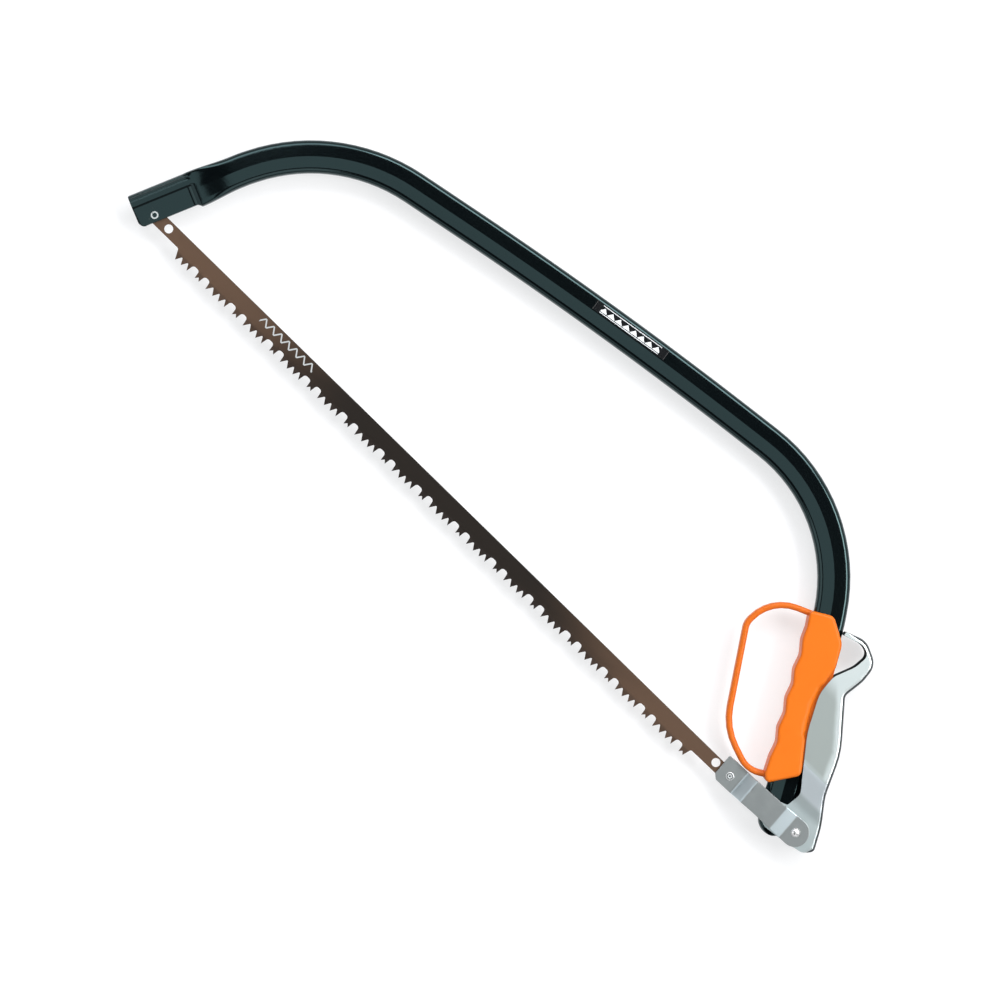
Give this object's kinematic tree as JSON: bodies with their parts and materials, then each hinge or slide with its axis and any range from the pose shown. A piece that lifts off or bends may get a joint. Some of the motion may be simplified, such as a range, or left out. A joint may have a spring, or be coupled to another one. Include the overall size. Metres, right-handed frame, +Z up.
{
  "type": "bow saw",
  "caption": "Bow saw: bent tube frame, toothed blade held between pins, moulded grip with knuckle guard, and a folding tension lever and link at the heel.",
  "frame": {"origin": "middle of the box round the saw lying on its side, at its lower face", "axes": "+X along the blade from toe to heel, +Y from the blade towards the bow, +Z up out of the saw's flat plane"},
  "size_m": [0.715, 0.2274, 0.029],
  "materials": {
    "black_paint": "satin",
    "orange_grip": "matte",
    "zinc_lever": "satin",
    "zinc_link": "satin",
    "brown_blade": "satin",
    "bright_pins": "polished",
    "steel_hardware": "satin"
  },
  "bodies": {
    "frame": {"bow_tube": "black_paint", "lever_pivot_sleeve": "steel_hardware", "front_blade_pin": "bright_pins", "grip_near_half": "orange_grip", "grip_far_half": "orange_grip", "grip_screws": "steel_hardware"},
    "lever": {"tension_lever": "zinc_lever", "lever_pivot_rivet": "steel_hardware", "link_rivet": "bright_pins", "link_spacer": "steel_hardware"},
    "link": {"tension_link": "zinc_link", "rear_blade_pin": "bright_pins"},
    "blade": {"saw_blade": "brown_blade"}
  },
  "joints": [
    {"name": "lever_hinge", "type": "hinge", "parent": "frame", "child": "lever", "pos_m": [0.3198, -0.09935, 0.0145], "axis": [0, 0, -1], "range_deg": [0, 70]},
    {"name": "link_hinge", "type": "hinge", "parent": "lever", "child": "link", "pos_m": [0.3373, -0.09545, 0.0145], "axis": [0, 0, 1], "range_deg": [0, 90.23]},
    {"name": "blade_hinge", "type": "hinge", "parent": "frame", "child": "blade", "pos_m": [-0.3332, -0.10055, 0.0145], "axis": [0, 0, -1], "range_deg": [0, 3.98]}
  ],
  "couplings": [
    {"joint": "link_hinge", "follows": "lever_hinge", "ratio": 1.289},
    {"joint": "blade_hinge", "follows": "lever_hinge", "ratio": 0.0569}
  ]
}
